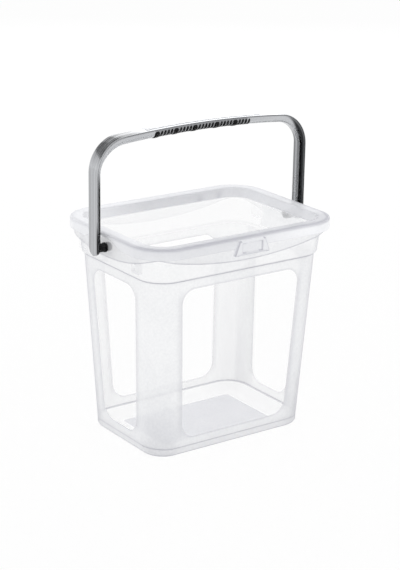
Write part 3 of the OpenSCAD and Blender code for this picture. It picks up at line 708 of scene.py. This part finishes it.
def remap(tree, value, low, high, toLow=0.0, toHigh=1.0, smooth=False):
    # From the first two limits to the last two, straight or by a smooth step.
    inputs = dict(enumerate((value, low, high, toLow, toHigh)))
    kind = "SMOOTHSTEP" if smooth else "LINEAR"
    return addNode(tree, "ShaderNodeMapRange", inputs, interpolation_type=kind).outputs[0]


def mixColour(tree, factor, first, second, blend="MIX"):
    inputs = {0: factor, 6: first, 7: second}
    return addNode(tree, "ShaderNodeMix", inputs, data_type="RGBA", blend_type=blend).outputs[2]


def newGroup(name, inputs, outputs):
    # A shader node group. Inputs come with their standing value, or None for a vector,
    # and the outputs are numbers.
    tree = bpy.data.node_groups.new(name, "ShaderNodeTree")
    for socket, value in inputs.items():
        kind = "NodeSocketVector" if value is None else "NodeSocketFloat"
        made = tree.interface.new_socket(name=socket, in_out="INPUT", socket_type=kind)
        if value is not None:
            made.default_value = value
    for socket in outputs:
        tree.interface.new_socket(name=socket, in_out="OUTPUT", socket_type="NodeSocketFloat")
    return tree, tree.nodes.new("NodeGroupInput"), tree.nodes.new("NodeGroupOutput")


def buildGrain():
    # Moulded plastic: soft cloudy patches a few millimetres wide, and a fine grain.
    inputs = {"Vector": None, "Patch Scale": 150.0, "Grain Scale": 900.0}
    tree, given, gives = newGroup("mouldedGrain", inputs, ("Patches", "Grain"))
    place, scale = given.outputs["Vector"], given.outputs["Patch Scale"]
    patches = addNode(tree, "ShaderNodeTexNoise", {
        "Vector": place, "Scale": scale, "Detail": 2.5, "Roughness": 0.55})
    wide = addNode(tree, "ShaderNodeTexNoise", {"Vector": place, "Scale": 28.0, "Detail": 1.0})
    grain = addNode(tree, "ShaderNodeTexNoise", {
        "Vector": place, "Scale": given.outputs["Grain Scale"], "Detail": 2.0, "Roughness": 0.6})
    both = maths(tree, "ADD", maths(tree, "MULTIPLY", patches.outputs["Fac"], 0.65),
                 maths(tree, "MULTIPLY", wide.outputs["Fac"], 0.35))
    wire(tree, remap(tree, both, 0.32, 0.68), gives.inputs["Patches"])
    wire(tree, grain.outputs["Fac"], gives.inputs["Grain"])
    return tree


def buildPane():
    # Rounded trapezoid: signed distance from its border, in metres, from the place
    # along the wall and the height. Clear is 1 inside, Border is 1 just outside the
    # edge, and Beside fades away from the upright borders.
    tree, given, gives = newGroup("paneShape", {
        "Along": 0.0, "Height": 0.0, "Half Low": 0.068, "Half High": 0.076, "Low": 0.0194, "High": 0.19,
        "Corner": 0.016, "Soft": 0.0009}, ("Clear", "Border", "Beside"))
    o = given.outputs
    span = maths(tree, "SUBTRACT", o["High"], o["Low"])
    rise = maths(tree, "DIVIDE", maths(tree, "SUBTRACT", o["Height"], o["Low"]), span)
    grows = maths(tree, "SUBTRACT", o["Half High"], o["Half Low"])
    half = maths(tree, "MULTIPLY_ADD", rise, grows, o["Half Low"])
    qx = maths(tree, "ADD", maths(tree, "SUBTRACT", maths(tree, "ABSOLUTE", o["Along"]), half), o["Corner"])
    middle = maths(tree, "MULTIPLY", maths(tree, "ADD", o["High"], o["Low"]), 0.5)
    up = maths(tree, "ABSOLUTE", maths(tree, "SUBTRACT", o["Height"], middle))
    qz = maths(tree, "ADD", maths(tree, "SUBTRACT", up, maths(tree, "MULTIPLY", span, 0.5)), o["Corner"])
    px, pz = most(tree, qx, 0.0), most(tree, qz, 0.0)
    squared = maths(tree, "MULTIPLY", px, px), maths(tree, "MULTIPLY", pz, pz)
    far = maths(tree, "SQRT", maths(tree, "ADD", *squared))
    near = maths(tree, "MINIMUM", most(tree, qx, qz), 0.0)
    distance = maths(tree, "SUBTRACT", maths(tree, "ADD", far, near), o["Corner"])
    scaled = maths(tree, "DIVIDE", distance, o["Soft"])
    wire(tree, remap(tree, scaled, 0.7, -0.7, smooth=True), gives.inputs["Clear"])
    edge = maths(tree, "ABSOLUTE", maths(tree, "SUBTRACT", scaled, 1.1))
    wire(tree, remap(tree, edge, 1.8, 0.0, smooth=True), gives.inputs["Border"])
    beside = maths(tree, "SUBTRACT", qx, o["Corner"])
    upright = maths(tree, "MULTIPLY", remap(tree, beside, 0.009, 0.0, smooth=True),
                    remap(tree, qz, 0.02, 0.0, smooth=True))
    wire(tree, maths(tree, "MULTIPLY", upright, remap(tree, scaled, 0.0, 1.0)), gives.inputs["Beside"])
    return tree


grainGroup, paneGroup = buildGrain(), buildPane()


def groupNode(tree, group, inputs):
    return addNode(tree, "ShaderNodeGroup", inputs, node_tree=group).outputs


def attribute(tree, name):
    return addNode(tree, "ShaderNodeAttribute", attribute_name=name).outputs["Fac"]


def newMaterial(name, **shaderInputs):
    mat = bpy.data.materials.new(name)
    mat.use_nodes = True
    shader = mat.node_tree.nodes["Principled BSDF"]
    for key, value in shaderInputs.items():
        shader.inputs[key.replace("_", " ")].default_value = value
    return mat, mat.node_tree, shader


def finish(piece, mat):
    piece.data.materials.clear()
    piece.data.materials.append(mat)


def grainAt(tree, patchScale, grainScale):
    # The place on the object, and the moulded grain there.
    place = addNode(tree, "ShaderNodeTexCoord").outputs["Object"]
    scales = {"Vector": place, "Patch Scale": patchScale, "Grain Scale": grainScale}
    return place, groupNode(tree, grainGroup, scales)


def roughAndBump(tree, shader, rough, height, strength):
    wire(tree, rough, shader.inputs["Roughness"])
    bump = addNode(tree, "ShaderNodeBump", {"Strength": strength, "Distance": 1.0, "Height": height})
    wire(tree, bump.outputs[0], shader.inputs["Normal"])


def grainFinish(tree, shader, grain, look):
    # Roughness that varies with the patches, and the grain as a fine relief.
    rough = remap(tree, grain["Patches"], 0.0, 1.0, look["smooth"], look["rough"])
    height = maths(tree, "MULTIPLY", grain["Grain"], look["grainHigh"])
    roughAndBump(tree, shader, rough, height, look["bump"])


# frosted plastic: colours and tones of painted light and shade, then how much lines of painted shade, panes
# and slanting skins cover
frost = {
    "paintedLitTone": (1.16, 1.16, 1.155, 1), "paintedShadeTone": (0.7, 0.7, 0.72, 1), "line": (0.36, 0.36, 0.42, 1),
    "light": (0.961, 0.968, 0.98, 1), "dark": (0.865, 0.873, 0.895, 1),
    "lidLight": (0.896, 0.903, 0.926, 1), "lidDark": (0.841, 0.849, 0.876, 1),
    "lineCover": 0.85, "paneLine": 0.3, "besideLine": 0.32, "grazeLine": 0.42, "grazeCover": 0.4,
    "paneCover": 0.02, "lightStopped": 0.18, "fromWithin": 0.08, "patchScale": 360.0, "grainScale": 1400.0,
    "bodyRoughness": 0.42, "paneRoughness": 0.08, "smooth": 0.38, "rough": 0.46, "ior": 1.4,
    "bodySpecular": 0.3, "lidSpecular": 0.1, "bump": 0.25, "grainHigh": 0.00004, "paneSunk": 0.0003,
    "sidePaneLow": 0.0313, "sidePaneHigh": 0.0415,
}


def frostedMaterial(name, light, dark, panes):
    # Frosted plastic: cloudy colour, painted light and shade from the mesh, thin lines of painted
    # shade where the moulding folds and round the panes, and cover from the mesh. Panes are polished places
    # where hardly anything covers.
    f = frost
    specular = f["bodySpecular"] if panes else f["lidSpecular"]
    mat, tree, shader = newMaterial(name, IOR=f["ior"], Specular_IOR_Level=specular)
    place, grain = grainAt(tree, f["patchScale"], f["grainScale"])
    cover, line = attribute(tree, "cover"), attribute(tree, "line")
    colour = mixColour(tree, grain["Patches"], dark, light)
    # painted light and shade: the mesh's shade mark turns the colour paler or darker
    tone = mixColour(tree, attribute(tree, "shade"), (1, 1, 1, 1) if panes else f["paintedLitTone"], f["paintedShadeTone"])
    colour = mixColour(tree, 1.0, colour, tone, "MULTIPLY")
    if panes:
        axes = addNode(tree, "ShaderNodeSeparateXYZ", {0: place})
        front = groupNode(tree, paneGroup, {"Along": axes.outputs["X"], "Height": axes.outputs["Z"]})
        side = groupNode(tree, paneGroup, {
            "Along": axes.outputs["Y"], "Height": axes.outputs["Z"],
            "Half Low": f["sidePaneLow"], "Half High": f["sidePaneHigh"]})
        clear, border, beside = (most(tree, front[k], side[k]) for k in ("Clear", "Border", "Beside"))
        facing = addNode(tree, "ShaderNodeLayerWeight").outputs["Facing"]
        graze = remap(tree, facing, 0.5, 0.95, smooth=True)       # more plastic on the way at a slant
        # painted shade lines at the pane borders, beside the upright borders and on skins seen at a slant
        for mark, key in ((border, "paneLine"), (beside, "besideLine"), (graze, "grazeLine")):
            line = most(tree, line, maths(tree, "MULTIPLY", mark, f[key]))
        cover = maths(tree, "MULTIPLY_ADD", graze, f["grazeCover"], cover, clamp=True)
        cover = maths(tree, "MULTIPLY", cover, maths(tree, "SUBTRACT", 1.0, clear))
        cover = maths(tree, "ADD", cover, maths(tree, "MULTIPLY", clear, f["paneCover"]))
        height = maths(tree, "MULTIPLY", grain["Grain"], f["grainHigh"])
        height = maths(tree, "SUBTRACT", height, maths(tree, "MULTIPLY", clear, f["paneSunk"]))
        rough = remap(tree, clear, 0.0, 1.0, f["bodyRoughness"], f["paneRoughness"])
        roughAndBump(tree, shader, rough, height, f["bump"])
    else:
        grainFinish(tree, shader, grain, f)
    # lines of painted shade pull the colour towards the line colour
    wire(tree, mixColour(tree, line, colour, f["line"]), shader.inputs["Base Color"])
    rest = maths(tree, "SUBTRACT", 1.0, cover)
    lined = maths(tree, "MULTIPLY", line, f["lineCover"])
    alpha = maths(tree, "MULTIPLY_ADD", lined, rest, cover, clamp=True)
    behind = addNode(tree, "ShaderNodeNewGeometry").outputs["Backfacing"]     # a skin seen from within
    alpha = maths(tree, "MULTIPLY", alpha, remap(tree, behind, 0.0, 1.0, 1.0, f["fromWithin"]))
    passes = anyRay(tree, "Shadow", "Diffuse", "Glossy")      # most light goes through the plastic
    stopped = remap(tree, passes, 0.0, 1.0, 1.0, f["lightStopped"])
    wire(tree, maths(tree, "MULTIPLY", alpha, stopped), shader.inputs["Alpha"])
    return mat


frostedBody = frostedMaterial("frostedBody", frost["light"], frost["dark"], True)
frostedLid = frostedMaterial("frostedLid", frost["lidLight"], frost["lidDark"], False)

# satin silver: black is the colour of the painted reflections and shade
silverLook = {
    "light": (0.64, 0.65, 0.67, 1), "dark": (0.48, 0.49, 0.51, 1), "grooveShade": (0.05, 0.05, 0.06, 1),
    "furrowShadeColour": (0.22, 0.22, 0.23, 1), "black": (0.012, 0.013, 0.015, 1),
    "metallic": 0.9, "smooth": 0.14, "rough": 0.22, "coat": 0.08, "coatRoughness": 0.1,
    "streakAcross": 0.55, "streakAlong": 0.004, "patchScale": 60.0, "grainScale": 1800.0,
    "grooveHalf": 0.35, "grooveCore": 0.05, "grooveMost": 0.85, "bump": 0.3, "grainHigh": 0.00002,
}


def silverMaterial():
    # Satin silver: fine streaks along the strap, painted shade in the crevice under it and in the
    # pad's furrows, and the painted reflections and shade carried by the mesh, which have no bright coat.
    look = silverLook
    mat, tree, shader = newMaterial(
        "satinSilver", Metallic=look["metallic"], Coat_Roughness=look["coatRoughness"])
    _, grain = grainAt(tree, look["patchScale"], look["grainScale"])
    across, along = (maths(tree, "MULTIPLY", attribute(tree, name), look[key])
                     for name, key in (("across", "streakAcross"), ("along", "streakAlong")))
    streakPlace = addNode(tree, "ShaderNodeCombineXYZ", {"X": across, "Y": along}).outputs[0]
    streaks = addNode(tree, "ShaderNodeTexNoise", {
        "Vector": streakPlace, "Scale": 1.0, "Detail": 3.0, "Roughness": 0.6})
    colour = mixColour(tree, remap(tree, streaks.outputs["Fac"], 0.3, 0.7), look["dark"], look["light"])
    # painted shade in the pad's furrows
    colour = mixColour(tree, attribute(tree, "padFurrowShade"), colour, look["furrowShadeColour"])
    # the painted reflections and shade carried by the mesh turn the silver black and take its coat away
    dark = attribute(tree, "dark")
    colour = mixColour(tree, dark, colour, look["black"])
    wire(tree, remap(tree, dark, 0.0, 1.0, look["coat"], 0.0), shader.inputs["Coat Weight"])
    # painted shade in the crevice under the strap
    grooveShade = maths(tree, "ABSOLUTE", maths(tree, "ADD", attribute(tree, "depth"), bow["strapThick"] + 0.15))
    grooveShade = remap(tree, grooveShade, look["grooveHalf"], look["grooveCore"], 0.0, look["grooveMost"], smooth=True)
    wire(tree, mixColour(tree, grooveShade, colour, look["grooveShade"]), shader.inputs["Base Color"])
    grainFinish(tree, shader, grain, look)
    return mat


blackLook = {
    "dark": (0.003, 0.003, 0.0035, 1), "light": (0.007, 0.007, 0.008, 1), "specular": 0.15,
    "smooth": 0.4, "rough": 0.52, "patchScale": 220.0, "grainScale": 2600.0, "bump": 0.35,
    "grainHigh": 0.00005,
}


def blackMaterial():
    # Satin black plastic with a fine grain.
    look = blackLook
    mat, tree, shader = newMaterial("satinBlack", Specular_IOR_Level=look["specular"])
    _, grain = grainAt(tree, look["patchScale"], look["grainScale"])
    wire(tree, mixColour(tree, grain["Patches"], look["dark"], look["light"]), shader.inputs["Base Color"])
    grainFinish(tree, shader, grain, look)
    return mat


satinSilver, satinBlack = silverMaterial(), blackMaterial()
finish(containerShell, frostedBody)
finish(lidShell, frostedLid)
finish(bowStrap, satinSilver)
for piece in (gripBars, *studPieces):
    finish(piece, satinBlack)
print("materials made")


# floor, light and camera, in metres, watts and degrees
studio = {
    "worldStrength": 0.92, "floorHalf": 4.0, "floorSeen": 0.88, "floorDrop": 0.0002, "floorTone": 0.93,
    "lampAim": (0, 0, 0.2), "sensor": 36.0, "photoHigh": 570,
    "lamps": {"keyLamp": ((-1.7, -1.1, 1.7), 1.4, 3.0), "backLamp": ((1.35, 1.9, 1.15), 1.5, 10.5)},
    "target": (0.0, 0.0, 0.16158), "shiftRight": 0.00095,
    "azimuth": -35.37, "elevation": 18.29, "roll": 0.93, "distance": 1.8441, "focalPixels": 1677.16,
}

# dark cards: first and last corner on the ground plan, lowest and highest, and tone
cards = {
    "cardLeft": ((-0.36, 0.13), (-0.34, -0.5), 0.0, 0.24, 0.02),
    "cardBack": ((-1.05, 0.95), (-0.1, 1.2), 0.78, 1.3, 0.3),
}


def makeQuad(name, corners):
    mesh = bpy.data.meshes.new(name)
    mesh.from_pydata(corners, [], [(0, 1, 2, 3)])
    return addObject(name, mesh)


def makeCard(name, start, end, low, high, tone):
    # A dark card, as a photographer sets one, seen only in reflections.
    card = makeQuad(name, [(*start, low), (*end, low), (*end, high), (*start, high)])
    for ray in ("camera", "diffuse", "transmission", "volume_scatter", "shadow"):
        setattr(card, "visible_" + ray, False)
    finish(card, newMaterial(name, Base_Color=(tone, tone, tone, 1), Roughness=1.0)[0])


def mixShaders(tree, factor, first, second, target):
    mix = addNode(tree, "ShaderNodeMixShader", {0: factor, 1: first, 2: second})
    wire(tree, mix.outputs[0], target.inputs["Surface"])


def makeFloor():
    # A pale floor that keeps the object's shadow and is nearly as bright as the ground
    # where the camera sees it.
    h, tone = studio["floorHalf"], studio["floorTone"]
    floor = makeQuad("floor", [(-h, -h, 0), (h, -h, 0), (h, h, 0), (-h, h, 0)])
    floor.location.z = -studio["floorDrop"]
    mat, tree, shader = newMaterial("floorWhite", Base_Color=(tone, tone, tone, 1), Roughness=0.9)
    glow = addNode(tree, "ShaderNodeEmission", {"Strength": 1.0})
    seen = maths(tree, "MULTIPLY", anyRay(tree, "Camera", "Transmission"), studio["floorSeen"])
    mixShaders(tree, seen, shader.outputs[0], glow.outputs[0], tree.nodes["Material Output"])
    finish(floor, mat)


def makeWorld():
    # White light at the world's own strength, and plain white where the ground is seen.
    world = bpy.data.worlds.new("studio")
    bpy.context.scene.world = world
    world.use_nodes = True
    tree = world.node_tree
    tree.nodes.clear()
    out = addNode(tree, "ShaderNodeOutputWorld")
    white = (1, 1, 1, 1)
    lightSide = addNode(tree, "ShaderNodeBackground", {"Color": white, "Strength": studio["worldStrength"]})
    seenSide = addNode(tree, "ShaderNodeBackground", {"Color": white, "Strength": 1.0})
    seen = anyRay(tree, "Camera", "Glossy", "Transmission")
    mixShaders(tree, seen, lightSide.outputs[0], seenSide.outputs[0], out)


def areaLamp(name, at, aim, size, power):
    data = bpy.data.lights.new(name, "AREA")
    data.energy, data.size = power, size
    lamp = addObject(name, data)
    lamp.location = at
    lamp.visible_camera = False
    lamp.rotation_mode = "QUATERNION"
    lamp.rotation_quaternion = (Vector(aim) - Vector(at)).to_track_quat("-Z", "Y")


def makeCamera():
    # The fitted camera: turned round and up from the front, then rolled about its own way.
    s = studio
    data = bpy.data.cameras.new("camera")
    cam = addObject("camera", data)
    bpy.context.scene.camera = cam
    a, e, roll = (math.radians(s[k]) for k in ("azimuth", "elevation", "roll"))
    back = Vector((math.sin(a) * math.cos(e), -math.cos(a) * math.cos(e), math.sin(e)))
    right = Vector((math.cos(a), math.sin(a), 0))
    up = right.cross(-back)
    rolledRight = math.cos(roll) * right + math.sin(roll) * up
    rolledUp = -math.sin(roll) * right + math.cos(roll) * up
    at = Vector(s["target"]) + s["distance"] * back + s["shiftRight"] * right
    turn = Matrix((rolledRight, rolledUp, back)).transposed().to_4x4()
    cam.matrix_world = Matrix.Translation(at) @ turn
    data.sensor_fit = "AUTO"
    data.sensor_width = s["sensor"]
    data.lens = s["focalPixels"] * s["sensor"] / s["photoHigh"]
    data.clip_start, data.clip_end = 0.05, 50


makeFloor()
makeWorld()
for cardName, card in cards.items():
    makeCard(cardName, *card)
for lampName, (at, size, power) in studio["lamps"].items():
    areaLamp(lampName, at, studio["lampAim"], size, power)
makeCamera()
bpy.context.scene.view_settings.view_transform = "Standard"
bpy.context.scene.cycles.transparent_max_bounces = 32   # thin walls are passed two faces at a time
print("studio built")
